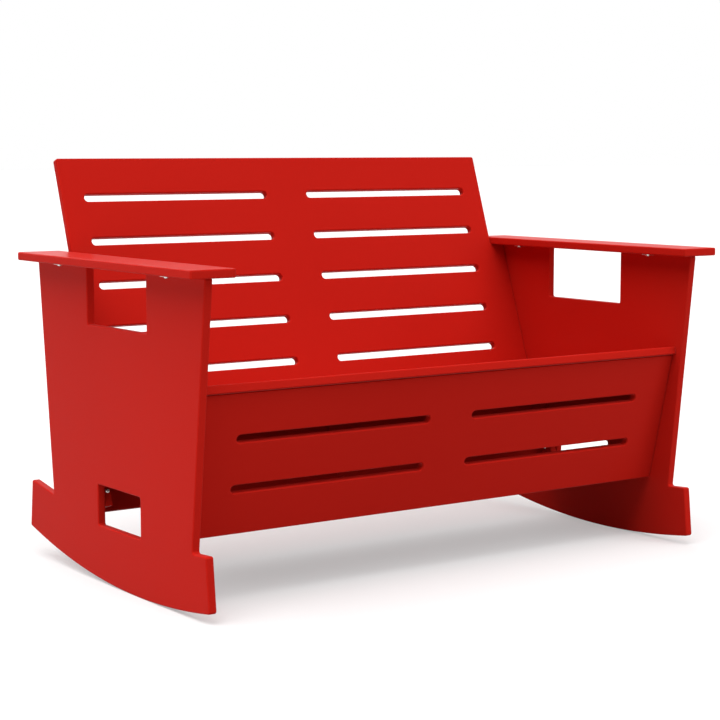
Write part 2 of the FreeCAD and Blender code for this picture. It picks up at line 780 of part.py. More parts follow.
def drilled(name, blank, screw_groups):
    """The finished piece: the blank cut by the drills of each group of screws."""
    piece = blank
    for index, group in enumerate(screw_groups, start=1):
        cut = doc.addObject("Part::Cut", f"{name}_drilled_{index}")
        cut.Base = piece
        cut.Tool = drills[group]
        piece = cut
    nodes[name] = piece


for end, blank in (("left", left_side), ("right", right_side)):
    drilled(f"{end}_side", blank, [f"{end}_side_screws", f"{end}_strap_screws"])
for end, blank in (("left", left_arm), ("right", right_arm)):
    drilled(f"{end}_arm", blank, [f"{end}_arm_screws"])
drilled("back_panel", back, ["back_screws"])
drilled("front_apron", apron, ["apron_screws"])
drilled("seat_panel", seat, ["seat_screws"])
drilled("center_rib", rib, ["rib_screws"])
for (end, panel), blank in cleats.items():
    drilled(f"{end}_{panel}_cleat", blank, [CROSSING[end], f"{panel}_screws"])
for (end, spot), blank in straps.items():
    drilled(f"{end}_{spot}_strap", blank, [f"{end}_arm_screws", f"{end}_strap_screws"])

for name, piece in nodes.items():
    piece.Label = name
doc.recompute()

for item in doc.Objects:
    if "Invalid" in item.State or "Error" in item.State:
        raise RuntimeError(f"{item.Label} was not made: {item.State}")
os.makedirs("parts", exist_ok=True)
for name, piece in nodes.items():
    if piece.Shape.isNull() or not piece.Shape.isValid():
        raise RuntimeError(f"{name} has no valid shape")
    if not piece.Shape.Solids:
        raise RuntimeError(f"{name} has no solid")
    piece.Shape.exportStep(f"parts/{name}.step")
    box = piece.Shape.optimalBoundingBox(True, False)
    print(f"{name}: {len(piece.Shape.Solids)} solids, {piece.Shape.Volume / 1000:.1f} cm3,",
          f"x {box.XMin:.1f} {box.XMax:.1f}, y {box.YMin:.1f} {box.YMax:.1f},",
          f"z {box.ZMin:.1f} {box.ZMax:.1f}")
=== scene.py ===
# %% [markdown]
# # A red rocking bench for the porch
# The bench is cut from one thickness of plastic sheet, so nearly everything that shows is a
# flat board: two sides with rocker feet, two arms, a slotted back, a slotted apron and a seat.
# Each board has the same finish: broad faces as they left the press, and edges that a router
# has rounded. This lesson makes the boards as numpy surfaces around the solid model, gives
# them a plastic that is coloured right through, and sets them in a plain bright studio.

# %% Load the solid model
import math
import bmesh
import bpy
import numpy as np
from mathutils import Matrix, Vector
from mathutils.geometry import tessellate_polygon


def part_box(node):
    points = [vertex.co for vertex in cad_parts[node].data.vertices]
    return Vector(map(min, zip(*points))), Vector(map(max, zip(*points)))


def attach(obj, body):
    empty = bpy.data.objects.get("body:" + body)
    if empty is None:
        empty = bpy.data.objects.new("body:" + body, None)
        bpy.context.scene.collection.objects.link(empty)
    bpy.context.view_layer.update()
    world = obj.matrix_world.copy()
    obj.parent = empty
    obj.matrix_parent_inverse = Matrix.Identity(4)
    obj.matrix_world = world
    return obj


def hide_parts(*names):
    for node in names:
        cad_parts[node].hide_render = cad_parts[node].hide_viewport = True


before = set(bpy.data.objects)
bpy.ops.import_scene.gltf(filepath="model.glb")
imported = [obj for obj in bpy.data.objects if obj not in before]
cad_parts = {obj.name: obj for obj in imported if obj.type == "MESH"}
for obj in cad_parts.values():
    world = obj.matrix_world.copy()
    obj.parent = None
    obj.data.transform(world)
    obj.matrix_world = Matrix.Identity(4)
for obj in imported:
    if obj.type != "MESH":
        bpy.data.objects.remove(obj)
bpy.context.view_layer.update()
print("solid pieces:", len(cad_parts))

# %% [markdown]
# ## Sizes read from the model
# The boards have to lie exactly where their solids lie. What a box can tell, such as where a
# side's faces are or how high the arms lie, is read from the solids. What a box can't tell,
# such as an angle or the place of a slot, is named here once, in metres or degrees.

# %% Sizes of the bench
side_low, side_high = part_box("right_side")
clear_half = side_low.x
thick = side_high.x - side_low.x
panel_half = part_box("seat_panel")[1].x
arm_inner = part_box("right_arm")[0].x
arm_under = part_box("right_arm")[0].z
back_top = 0.8492
edge_round = 0.003
corner_round = 0.005
seam = 0.0002
side_middle = -0.02045
rocker_middle = -0.09145
rocker_radius = 1.801
recline = math.radians(19.09)
apron_lean = math.radians(13.2)
seat_slope = math.radians(13.5)
slot_height = 0.0165
slot_ends = (0.054, 0.5095)
print(f"sheet {thick * 1000:.1f} mm, clear width {2 * clear_half * 1000:.0f} mm")

# %% [markdown]
# ## The red plastic
# The sheet is polyethylene that is coloured right through, so a cut edge is as red as a face
# and no paint can chip. What makes it look like plastic is small: a slow drift in the colour,
# a pressed face with a faint orange peel and a fine grain in it, and a soft sheen. A picture
# could hold all this, but noise that is worked out from the place on the bench never repeats
# and stays sharp at any distance.

# %% Helpers for materials
def new_material(name):
    """An empty material, its tree and its shader, for the functions below to fill."""
    material = bpy.data.materials.new(name)
    material.use_nodes = True
    tree = material.node_tree
    return material, tree, tree.nodes["Principled BSDF"]


def add(tree, kind, inputs=(), **settings):
    """One node with its settings and inputs. An input is a value or another node's output."""
    node = tree.nodes.new(kind)
    for key, value in settings.items():
        setattr(node, key, value)
    for key, value in dict(inputs).items():
        if isinstance(value, bpy.types.NodeSocket):
            tree.links.new(value, node.inputs[key])
        else:
            node.inputs[key].default_value = value
    return node


def noise(tree, place, scale, detail=2.0):
    """Noise at a scale in features per metre, read at a place."""
    values = {"Vector": place, "Scale": scale, "Detail": detail}
    return add(tree, "ShaderNodeTexNoise", values).outputs["Fac"]


def bump(tree, height, distance, before=None):
    """A relief of a height map, as deep as a distance in metres, on top of another relief."""
    values = {"Height": height, "Distance": distance, "Strength": 1.0}
    if before is not None:
        values["Normal"] = before
    return add(tree, "ShaderNodeBump", values).outputs["Normal"]


def between(tree, factor, low, high):
    """A factor from 0 to 1 carried to the range from low to high."""
    return add(tree, "ShaderNodeMapRange", {"Value": factor, "To Min": low, "To Max": high}).outputs[0]

# %% The sheet's material
DARK_RED, LIGHT_RED = (0.510, 0.0120, 0.0070, 1), (0.545, 0.0142, 0.0082, 1)
DRIFT_SCALE = 2.5
GLOSS_SCALE, PRESSED_ROUGHNESS = 70, (0.28, 0.36)
PEEL_SCALE, PEEL_DEPTH = 170, 0.00006
GRAIN_SCALE, GRAIN_DEPTH = 1300, 0.000015
CUTTER_STEP, CUTTER_DEPTH = 0.0024, 0.000012
WANDER_SCALE, WANDER = 90, 0.0008
ROUTED_DULLER = 0.08


def red_sheet():
    """Red polyethylene: colour drift, orange peel, grain, and cutter marks where routed."""
    material, tree, shader = new_material("red_sheet")
    place = add(tree, "ShaderNodeTexCoord").outputs["Object"]
    tint = add(tree, "ShaderNodeMix", {0: noise(tree, place, DRIFT_SCALE)}, data_type="RGBA")
    tint.inputs[6].default_value = DARK_RED
    tint.inputs[7].default_value = LIGHT_RED
    tree.links.new(tint.outputs[2], shader.inputs["Base Color"])
    routed = add(tree, "ShaderNodeAttribute", attribute_name="routed").outputs["Fac"]
    pressed = between(tree, noise(tree, place, GLOSS_SCALE), *PRESSED_ROUGHNESS)
    dulled = add(tree, "ShaderNodeMath", {0: routed, 1: ROUTED_DULLER, 2: pressed},
                 operation="MULTIPLY_ADD")
    tree.links.new(dulled.outputs[0], shader.inputs["Roughness"])
    shader.inputs["Specular IOR Level"].default_value = 0.016
    shader.inputs["Sheen Weight"].default_value = 0.06
    shader.inputs["Sheen Roughness"].default_value = 0.3
    peel = bump(tree, noise(tree, place, PEEL_SCALE), PEEL_DEPTH)
    grain = bump(tree, noise(tree, place, GRAIN_SCALE), GRAIN_DEPTH, peel)
    along = add(tree, "ShaderNodeUVMap", uv_map="edge_map").outputs["UV"]
    run = add(tree, "ShaderNodeSeparateXYZ", {0: along}).outputs[0]
    wandering = noise(tree, place, WANDER_SCALE)
    wobble = add(tree, "ShaderNodeMath", {0: wandering, 1: WANDER, 2: run},
                 operation="MULTIPLY_ADD")
    marks = add(tree, "ShaderNodeMath", {0: wobble.outputs[0], 1: 2 * math.pi / CUTTER_STEP},
                operation="MULTIPLY")
    wave = add(tree, "ShaderNodeMath", {0: marks.outputs[0]}, operation="SINE")
    cut = add(tree, "ShaderNodeMath", {0: wave.outputs[0], 1: routed}, operation="MULTIPLY")
    tree.links.new(bump(tree, cut.outputs[0], CUTTER_DEPTH, grain), shader.inputs["Normal"])
    return material


RED = red_sheet()
print("the sheet's material has", len(RED.node_tree.nodes), "nodes")

# %% [markdown]
# ## The steel
# Flat straps hold the arms, and screws hold everything. Both are stainless steel. A strap is
# cut from brushed strip, so its grain runs one way, and noise that is squeezed along the
# strap draws it. A screw is tumbled smooth and only gets a faint unevenness.

# %% The straps' and screws' materials
SCRATCH_SCALE, SCRATCH_STRETCH, BRUSHED_ROUGHNESS = 3000, 0.04, (0.26, 0.44)
PITTED_SCALE, TUMBLED_ROUGHNESS = 900, (0.20, 0.34)
STEEL_DEPTH = 0.00001


def strap_steel():
    """Brushed stainless strip, with its scratches along X."""
    material, tree, shader = new_material("strap_steel")
    place = add(tree, "ShaderNodeTexCoord").outputs["Object"]
    stretch = (SCRATCH_STRETCH, 1, 1)
    along = add(tree, "ShaderNodeMapping", {"Vector": place, "Scale": stretch}).outputs[0]
    scratch = noise(tree, along, SCRATCH_SCALE, 3)
    tree.links.new(between(tree, scratch, *BRUSHED_ROUGHNESS), shader.inputs["Roughness"])
    tree.links.new(bump(tree, scratch, STEEL_DEPTH), shader.inputs["Normal"])
    shader.inputs["Metallic"].default_value = 1
    shader.inputs["Base Color"].default_value = (0.56, 0.55, 0.53, 1)
    return material


def screw_steel():
    """Tumbled stainless, nearly even."""
    material, tree, shader = new_material("screw_steel")
    place = add(tree, "ShaderNodeTexCoord").outputs["Object"]
    pitted = noise(tree, place, PITTED_SCALE, 3)
    tree.links.new(between(tree, pitted, *TUMBLED_ROUGHNESS), shader.inputs["Roughness"])
    tree.links.new(bump(tree, pitted, STEEL_DEPTH), shader.inputs["Normal"])
    shader.inputs["Metallic"].default_value = 1
    shader.inputs["Base Color"].default_value = (0.60, 0.59, 0.57, 1)
    return material


STRAP = strap_steel()
SCREW = screw_steel()
for name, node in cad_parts.items():
    finish = STRAP if "strap" in name and "screws" not in name else RED
    for place in node.material_slots:
        place.material = finish
print("finishes are on", len(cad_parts), "solids")

# %% [markdown]
# ## Rounding the corners of an outline
# A router follows a pattern, and leaves each corner of a board as a small arc. An outline is
# written as its few corner points, and one function turns all corners into arcs at once. It
# also returns the direction that points out of the board at each place, because the rounded
# edges need it later. A radius of zero keeps a point as it is, for a long gentle curve that
# is given by many points.

# %% Outlines with round corners
def rounded_loop(corners, radii, steps=6):
    """Points and outward directions along a closed outline that runs anticlockwise.

    At a corner with unit directions u and v to its neighbours, at an angle phi to each other,
    the arc touches both sides at r / tan(phi / 2). Its centre lies on the line that halves
    the angle, at r / sin(phi / 2), and its points swing from one touching place to the other.
    A sharp corner's direction is the mean of its sides', as long as keeps both insets equal.
    """
    corner = np.asarray(corners, float)
    radius = np.asarray(radii, float)[:, None]
    u = np.roll(corner, 1, 0) - corner
    v = np.roll(corner, -1, 0) - corner
    u /= np.linalg.norm(u, axis=1, keepdims=True)
    v /= np.linalg.norm(v, axis=1, keepdims=True)
    phi = np.arccos(np.clip((u * v).sum(1), -1, 1))[:, None]
    halving = u + v
    halving /= np.maximum(np.linalg.norm(halving, axis=1, keepdims=True), 1e-12)
    centre = corner + halving * radius / np.sin(phi / 2)
    first = -u[:, ::-1] * [1, -1]
    last = v[:, ::-1] * [1, -1]
    turn = np.sign(v[:, 0] * u[:, 1] - v[:, 1] * u[:, 0])[:, None]
    swing = (np.pi - phi)[:, :, None]
    part = np.linspace(0, 1, steps + 1)[None, :, None]
    safe = np.maximum(np.sin(swing), 1e-9)
    outward = (np.sin((1 - part) * swing) * first[:, None]
               + np.sin(part * swing) * last[:, None]) / safe
    points = centre[:, None] + outward * (radius * turn)[:, None]
    kept = np.ones(points.shape[:2], bool)
    plain = radius[:, 0] == 0
    kept[plain, 1:] = False
    mean = first + last
    mean /= (mean * first).sum(1, keepdims=True)
    points[plain] = corner[plain][:, None]
    outward[plain] = mean[plain][:, None]
    return points[kept], outward[kept]


def box_corners(low_a, high_a, low_b, high_b):
    """The four corners of a rectangle, anticlockwise."""
    return [(low_a, low_b), (high_a, low_b), (high_a, high_b), (low_a, high_b)]


def sharp_loop(low_a, high_a, low_b, high_b):
    """A rectangle with sharp corners. A point on each side of a corner keeps the insets apart."""
    corner = np.array(box_corners(low_a, high_a, low_b, high_b))
    before = np.roll(corner, 1, 0) - corner
    after = np.roll(corner, -1, 0) - corner
    apart = 1.05 * edge_round
    before *= apart / np.linalg.norm(before, axis=1, keepdims=True)
    after *= apart / np.linalg.norm(after, axis=1, keepdims=True)
    points = np.stack([corner + before, corner, corner + after], 1).reshape(-1, 2)
    return rounded_loop(points, [0] * len(points))


square = rounded_loop(box_corners(0, 1, 0, 1), [0.1] * 4)
print("a rounded square has", len(square[0]), "points")

# %% [markdown]
# ## A board as a profile carried round an outline
# The edge of a board is the same everywhere: a quarter round, a straight wall and another
# quarter round. So the edge is one short profile, and carrying it along the outline gives a
# grid of points, one row for each profile point and one column for each outline point. The
# slots and windows are edges too, of outlines that run the other way. Flat faces then close
# the board on both sides. Modelling a box and bevelling it would also work, but here every
# point follows from a formula, and so do the two things that the plastic needs: how far along
# the edge a point lies, and whether the router has touched it.

# %% The edge profile
def edge_profile(depth, steps=5):
    """Inset and depth along the edge: a quarter round at each face and a wall between.

    At an angle t from the face, the inset is r (1 - sin t) and the depth is r (1 - cos t).
    """
    angle = np.linspace(0, np.pi / 2, steps + 1)
    inset = edge_round * (1 - np.sin(angle))
    down = edge_round * (1 - np.cos(angle))
    return np.concatenate([inset, inset[::-1]]), np.concatenate([down, (depth - down)[::-1]])


print("profile points:", len(edge_profile(thick)[0]))

# %% Carry the profile round the outlines
def edge_grid(loop, depth, hole):
    """The grid of an edge: outline point less inset times outward direction, at each depth."""
    points, outward = loop
    if hole:
        outward = -outward
    inset, down = edge_profile(depth)
    flat = points[None] - outward[None] * inset[:, None, None]
    high = np.broadcast_to(down[:, None, None], flat.shape[:2] + (1,))
    return np.concatenate([flat, high], axis=2)


print("rows and columns round the square:", edge_grid(square, thick, False).shape[:2])


def grid_faces(rows, columns, start, hole):
    """Quads of a grid that closes on itself along its columns, facing out of the board."""
    row, column = np.meshgrid(np.arange(rows - 1), np.arange(columns), indexing="ij")
    here = start + row * columns + column
    beside = start + row * columns + (column + 1) % columns
    quads = np.stack([here, here + columns, beside + columns, beside], -1).reshape(-1, 4)
    return quads[:, ::-1] if hole else quads


def face_triangles(grids, row, starts):
    """The flat face between the outlines at one row of their grids, as triangles."""
    rings = [[Vector((p[0], p[1], 0)) for p in grid[row]] for grid in grids]
    index = np.concatenate([start + row % len(grid) * grid.shape[1] + np.arange(grid.shape[1])
                            for grid, start in zip(grids, starts)])
    flat = np.concatenate([grid[row] for grid in grids])[:, :2]
    corners = np.array(tessellate_polygon(rings))
    a, b, c = (flat[corners[:, k]] for k in range(3))
    area = (b - a)[:, 0] * (c - a)[:, 1] - (b - a)[:, 1] * (c - a)[:, 0]
    corners[area < 0] = corners[area < 0][:, ::-1]
    return index[corners[np.abs(area) > 1e-14]]

# %% [markdown]
# ## From grid to mesh
# A board's own plane has two directions, and its thickness is the third. Three unit vectors
# and a place carry the flat drawing to where the board sits. The shading follows the largest
# faces at each point, so a broad face stays perfectly flat up to where its rounding begins,
# as on a real board. The map written on each face holds the distance along the edge and
# across it, and the mark called routed is 1 where the cutter has been.

# %% Make a board
def smooth_normals(points, faces):
    """A direction for each point: the sum of its faces' directions, weighted by their area."""
    total = np.zeros_like(points)
    for block in faces:
        a, b, c = points[block[:, 0]], points[block[:, 1]], points[block[:, 2]]
        d = points[block[:, -1]]
        area = np.cross(b - a, c - a) + (np.cross(c - a, d - a) if block.shape[1] == 4 else 0)
        for k in range(block.shape[1]):
            np.add.at(total, block[:, k], area)
    return total / np.maximum(np.linalg.norm(total, axis=1, keepdims=True), 1e-20)


def board(name, node, loops, origin, axes, depth=thick, taper=None):
    """A board from its outline and holes, which replaces a solid piece of the model.

    A point (a, b, w) of the drawing goes to origin + a A + b B + w W. A taper is the height
    above which the end is cut at a slant, and the slant: there b grows by w times the slant.
    """
    grids = [edge_grid(loop, depth, k > 0) for k, loop in enumerate(loops)]
    if taper is not None:
        for grid in grids:
            slanted = grid[..., 1] > taper[0]
            grid[..., 1] += np.where(slanted, grid[..., 2] * taper[1], 0)
    counts = [grid.shape[0] * grid.shape[1] for grid in grids]
    starts = np.concatenate([[0], np.cumsum(counts)[:-1]]).astype(int)
    drawing = np.concatenate([grid.reshape(-1, 3) for grid in grids])
    quads = np.concatenate([grid_faces(grid.shape[0], grid.shape[1], start, k > 0)
                            for k, (grid, start) in enumerate(zip(grids, starts))])
    top = face_triangles(grids, -1, starts)
    bottom = face_triangles(grids, 0, starts)[:, ::-1]
    blocks = [quads, top, bottom]
    matrix = np.array(axes, float)
    if np.linalg.det(matrix) > 0:
        blocks[0] = blocks[0][:, ::-1]
    else:
        blocks[1] = blocks[1][:, ::-1]
        blocks[2] = blocks[2][:, ::-1]
    points = np.array(origin) + drawing @ matrix
    mesh = bpy.data.meshes.new(name)
    mesh.from_pydata(points.tolist(), [], [f for block in blocks for f in block.tolist()])
    mesh.polygons.foreach_set("use_smooth", np.ones(len(mesh.polygons), bool))
    mesh.normals_split_custom_set_from_vertices(smooth_normals(points, blocks).tolist())
    write_edge_map(mesh, grids, starts, drawing, len(quads))
    piece = bpy.data.objects.new(name, mesh)
    bpy.context.scene.collection.objects.link(piece)
    piece.data.materials.append(RED)
    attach(piece, "root")
    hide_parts(node)
    print(f"{name}: {len(mesh.vertices)} points, {len(mesh.polygons)} faces")
    return piece

# %% The map along the edges
def write_edge_map(mesh, grids, starts, drawing, quad_count):
    """Writes the map, along and across each edge, and marks what the router has cut."""
    along = np.zeros(len(drawing))
    across = np.zeros(len(drawing))
    routed = np.ones(len(drawing), np.float32)
    lengths = np.zeros(len(drawing))
    for grid, start in zip(grids, starts):
        rows, columns = grid.shape[:2]
        ring = grid[rows // 2, :, :2]
        steps = np.linalg.norm(np.roll(ring, -1, 0) - ring, axis=1)
        run = np.concatenate([[0], np.cumsum(steps)[:-1]])
        span = np.concatenate([[0], np.cumsum(np.linalg.norm(np.diff(grid[:, 0], axis=0), axis=1))])
        cells = slice(start, start + rows * columns)
        along[cells] = np.tile(run, rows)
        across[cells] = np.repeat(span, columns)
        lengths[cells] = steps.sum()
        routed[start:start + columns] = 0
        routed[start + (rows - 1) * columns:start + rows * columns] = 0
    mark = mesh.attributes.new("routed", "FLOAT", "POINT")
    mark.data.foreach_set("value", routed)
    corner = np.zeros(len(mesh.loops), int)
    mesh.loops.foreach_get("vertex_index", corner)
    is_edge = np.arange(len(corner)) < 4 * quad_count
    u = np.where(is_edge, along[corner], drawing[corner, 0])
    v = np.where(is_edge, across[corner], drawing[corner, 1])
    quad_u = u[:4 * quad_count].reshape(-1, 4)
    total = lengths[corner[:4 * quad_count]].reshape(-1, 4)
    wraps = quad_u.max(1) - quad_u.min(1) > total[:, 0] / 2
    quad_u[wraps] = np.where(quad_u[wraps] == 0, total[wraps], quad_u[wraps])
    u[:4 * quad_count] = quad_u.reshape(-1)
    layer = mesh.uv_layers.new(name="edge_map")
    layer.data.foreach_set("uv", np.stack([u, v], 1).astype(np.float32).reshape(-1))

# %% [markdown]
# ## The sides
# A side is the bench's main piece. Its upright edges lean in towards the floor, and its feet
# reach out in front and behind to meet one long arc, on which the bench rocks. A hand notch
# lies below the arm and a carrying window above the arc. The arc is a true circle here,
# sampled about every twelve millimetres, so that it looks smooth from close by.

# %% The side's outline
side_half = 0.3436
side_lean = math.tan(math.radians(6.27))
front_foot = {"length": 0.0608, "root": 0.124, "tip": 0.127}
rear_foot = {"length": 0.1146, "root": 0.148, "tip": 0.165}
foot_setback = 0.0107
notch_half, notch_depth = 0.122, 0.1187
window_half, window_height, window_bottom = 0.088, 0.083, 0.1165
arc_points = 65


def rocker_height(depth):
    """Height of the rocker's arc at a depth: r less the root of r squared less y squared."""
    return rocker_radius - np.sqrt(rocker_radius ** 2 - (depth - rocker_middle) ** 2)


def lean_in(height):
    """How far the upright edges have leaned in at a height."""
    return (arm_under - height) * side_lean


def side_loop():
    """The side's outline, from the front foot's lower corner along the arc and round."""
    front_root = side_middle - side_half + lean_in(front_foot["root"])
    rear_root = side_middle + side_half - lean_in(rear_foot["root"])
    front = front_root - front_foot["length"]
    rear = rear_root + rear_foot["length"]
    arc_depth = np.linspace(front, rear, arc_points)
    arc = np.stack([arc_depth, rocker_height(arc_depth)], 1)
    upper = [
        (rear - foot_setback, rear_foot["tip"]),
        (rear_root, rear_foot["root"]),
        (side_middle + side_half, arm_under),
        (side_middle + notch_half, arm_under),
        (side_middle + notch_half, arm_under - notch_depth),
        (side_middle - notch_half, arm_under - notch_depth),
        (side_middle - notch_half, arm_under),
        (side_middle - side_half, arm_under),
        (front_root, front_foot["root"]),
        (front + foot_setback, front_foot["tip"]),
    ]
    radii = np.full(len(arc) + len(upper), corner_round)
    radii[1:len(arc) - 1] = 0
    return rounded_loop(np.concatenate([arc, upper]), radii)


window_corners = box_corners(side_middle - window_half, side_middle + window_half,
                             window_bottom, window_bottom + window_height)
window_loop = rounded_loop(window_corners, [corner_round] * 4)
upright = [(0, 1, 0), (0, 0, 1), (1, 0, 0)]
board("left_side_board", "left_side", [side_loop(), window_loop],
      (-clear_half - thick, 0, 0), upright)
board("right_side_board", "right_side", [side_loop(), window_loop],
      (clear_half, 0, 0), upright)

# %% [markdown]
# ## The arms
# An arm is a plain plank laid across a side's top edge, wide enough for a glass.

# %% Both arms
for side_name in ("left", "right"):
    low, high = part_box(f"{side_name}_arm")
    arm_loop = rounded_loop(box_corners(low.x, high.x, low.y, high.y), [corner_round] * 4)
    board(f"{side_name}_arm_board", f"{side_name}_arm", [arm_loop],
          (0, 0, low.z), [(1, 0, 0), (0, 1, 0), (0, 0, 1)])

# %% [markdown]
# ## Slotted panels
# The slots are long holes with round ends. One function makes the outline of a slot as a
# rectangle whose corners are rounded until they meet, and lists the rows and both halves.

# %% Slots
def slot_loops(first, pitch, rows):
    """Outlines of all slots: rows upward from the first one's middle, in both halves.

    The corners' radius is a hair under half the height, so that no two arcs share a point.
    """
    end_round = slot_height / 2 * 0.9999
    loops = []
    for row in range(rows):
        middle = first + row * pitch
        for sign in (-1, 1):
            ends = sorted((sign * slot_ends[0], sign * slot_ends[1]))
            corners = box_corners(ends[0], ends[1], middle - slot_height / 2,
                                  middle + slot_height / 2)
            loops.append(rounded_loop(corners, [end_round] * 4, steps=8))
    return loops


print("points round one slot:", len(slot_loops(0, 0, 1)[0][0]))

# %% [markdown]
# ## The back
# The back leans and reaches above the arms, where it is narrower so that it passes between
# them. Below the arms its two ears butt against the sides.

# %% The back panel
back_foot_depth, back_foot_height = 0.1189, 0.1357
back_arm_gap = 0.0005
back_top_to_slot = 0.088
back_start = (0, side_middle + back_foot_depth, back_foot_height)
back_length = (back_top - back_start[2]) / math.cos(recline)
back_upper = arm_inner - back_arm_gap
shoulder = (arm_under - seam - back_start[2]) / math.cos(recline)
back_corners = [(-panel_half, 0), (panel_half, 0), (panel_half, shoulder),
                (back_upper, shoulder), (back_upper, back_length),
                (-back_upper, back_length), (-back_upper, shoulder), (-panel_half, shoulder)]
back_pitch, back_rows = 0.0964, 5
back_first = back_length - back_top_to_slot - back_pitch * (back_rows - 1)
up_back = (0, math.sin(recline), math.cos(recline))
through_back = (0, math.cos(recline), -math.sin(recline))
back_loop = rounded_loop(back_corners, [corner_round] * len(back_corners))
board("back_board", "back_panel", [back_loop, *slot_loops(back_first, back_pitch, back_rows)],
      back_start, [(1, 0, 0), up_back, through_back])

# %% [markdown]
# ## The apron and the seat
# The apron leans forward and its top is cut at a slant to lie along the seat's underside.
# The seat slopes down to the back, and its rear edge is cut at a slant to meet the back. Both
# cuts are the same idea as a square edge, with the end of the drawing sheared as it goes
# through the sheet.

# %% The apron panel
apron_foot_depth, apron_foot_height = 0.229, 0.136
apron_first, apron_pitch, apron_rows = 0.0938, 0.1027, 2
apron_start = (0, side_middle - apron_foot_depth, apron_foot_height)
seat_front_height = 0.421
seat_overhang = 0.0098
under_front = seat_front_height - seat_overhang * math.sin(seat_slope)
apron_length = (under_front - apron_start[2]) / math.cos(apron_lean) - seam
up_apron = (0, -math.sin(apron_lean), math.cos(apron_lean))
through_apron = (0, math.cos(apron_lean), math.sin(apron_lean))
apron_loop = sharp_loop(-panel_half, panel_half, 0, apron_length)
board("apron_board", "front_apron",
      [apron_loop, *slot_loops(apron_first, apron_pitch, apron_rows)],
      apron_start, [(1, 0, 0), up_apron, through_apron],
      taper=(apron_length - 2 * edge_round, -math.tan(apron_lean + seat_slope)))

# %% The seat panel
seat_start_y = (apron_start[1] - (under_front - apron_start[2]) * math.tan(apron_lean)
                - seat_overhang * math.cos(seat_slope))
seat_start = (0, seat_start_y, seat_front_height)
seat_length = (((back_start[1] - seat_start[1]) * math.cos(recline)
                - (back_start[2] - seat_start[2]) * math.sin(recline))
               / math.cos(recline - seat_slope) - seam)
along_seat = (0, math.cos(seat_slope), -math.sin(seat_slope))
through_seat = (0, math.sin(seat_slope), math.cos(seat_slope))
seat_loop = sharp_loop(-panel_half, panel_half, 0, seat_length)
board("seat_board", "seat_panel", [seat_loop],
      seat_start, [(1, 0, 0), along_seat, through_seat],
      taper=(seat_length - 2 * edge_round, math.tan(recline - seat_slope)))

# %% [markdown]
# ## The screws
# The screws have domed heads with a hexagon socket. Most sit below the seat, and two more
# pairs hold each arm from below. The solids say where each screw is. A head is one profile
# that turns about the screw's axis: it starts on the floor of the socket, climbs its wall,
# runs over the dome and ends at the tip. Inside the socket the radius follows a hexagon
# instead of a circle. That gives a crisp tool socket with a few hundred faces.

# %% Find the screws in a solid
HEAD_HEIGHT = 0.0038
HEAD_RADIUS = 0.005


def find_screws(node, way):
    """Where each screw of a group starts on its axis, from the corners of its solid.

    Points are flattened along the way that the screws point. Those within a head's width of
    one of them are one screw, whose axis is at the middle of their box.
    """
    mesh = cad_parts[node].data
    points = np.zeros(len(mesh.vertices) * 3)
    mesh.vertices.foreach_get("co", points)
    points = points.reshape(-1, 3)
    way = np.array(way, float)
    along = points @ way
    flat = points - along[:, None] * way
    starts = []
    while len(flat):
        near = np.linalg.norm(flat - flat[0], axis=1) < 2.2 * HEAD_RADIUS
        middle = (flat[near].min(0) + flat[near].max(0)) / 2
        starts.append(middle + along[near].min() * way)
        length = along[near].max() - along[near].min()
        flat, along = flat[~near], along[~near]
    return np.array(starts), length


print("screws in the left side:", len(find_screws("left_side_screws", (-1, 0, 0))[0]))

# %% Turn a screw
SOCKET_RADIUS, SOCKET_DEPTH = 0.0016, 0.0021
SHANK_RADIUS, POINT_LENGTH = 0.0024, 0.004
FLAT_HEAD_HEIGHT = 0.0024
TURN_STEPS, DOME_STEPS = 36, 7
# Shares of the head's radius and of its height, and of the socket's radius at its mouth.
DOME_START, DOME_END, RIM_RADIUS = 0.42, 0.995, 0.96
DOME_FALL, RIM_HEIGHT = 0.72, 0.94
SOCKET_MOUTH = 1.12


def screw_grid(length, domed):
    """Points of one screw that starts at 0 and points along Z: radius and height, turned.

    The dome's height at a radius r is that of a flat ellipse, h (1 - root(1 - (r / R)^2)).
    In the socket the radius is the hexagon's, a / cos of the angle from the nearest flat.
    """
    turn = np.linspace(0, 2 * np.pi, TURN_STEPS, endpoint=False)
    hexagon = 1 / np.cos((turn + np.pi / 6) % (np.pi / 3) - np.pi / 6)
    over = np.linspace(DOME_START, 1, DOME_STEPS) * HEAD_RADIUS
    if domed:
        sunk = HEAD_HEIGHT * DOME_FALL * (1 - np.sqrt(1 - (over / HEAD_RADIUS * DOME_END) ** 2))
        under = [(HEAD_RADIUS, HEAD_HEIGHT * RIM_HEIGHT), (HEAD_RADIUS * RIM_RADIUS, HEAD_HEIGHT)]
        neck = HEAD_HEIGHT
    else:
        over = over * RIM_RADIUS
        sunk = np.zeros(len(over))
        under = []
        neck = FLAT_HEAD_HEIGHT
    rows = [(0, SOCKET_DEPTH, 0), (SOCKET_RADIUS, SOCKET_DEPTH, 1),
            (SOCKET_RADIUS, sunk[0] + 0.0002, 1), (SOCKET_RADIUS * SOCKET_MOUTH, sunk[0], 0.6)]
    rows += [(radius, height, 0) for radius, height in zip(over, sunk)]
    rows += [(radius, height, 0) for radius, height in under]
    rows += [(SHANK_RADIUS, neck, 0), (SHANK_RADIUS, length - POINT_LENGTH, 0), (0, length, 0)]
    radius, height, angular = np.array(rows).T
    reach = radius[:, None] * (1 + angular[:, None] * (hexagon - 1))
    return np.stack([reach * np.cos(turn), reach * np.sin(turn),
                     np.broadcast_to(height[:, None], reach.shape)], -1)


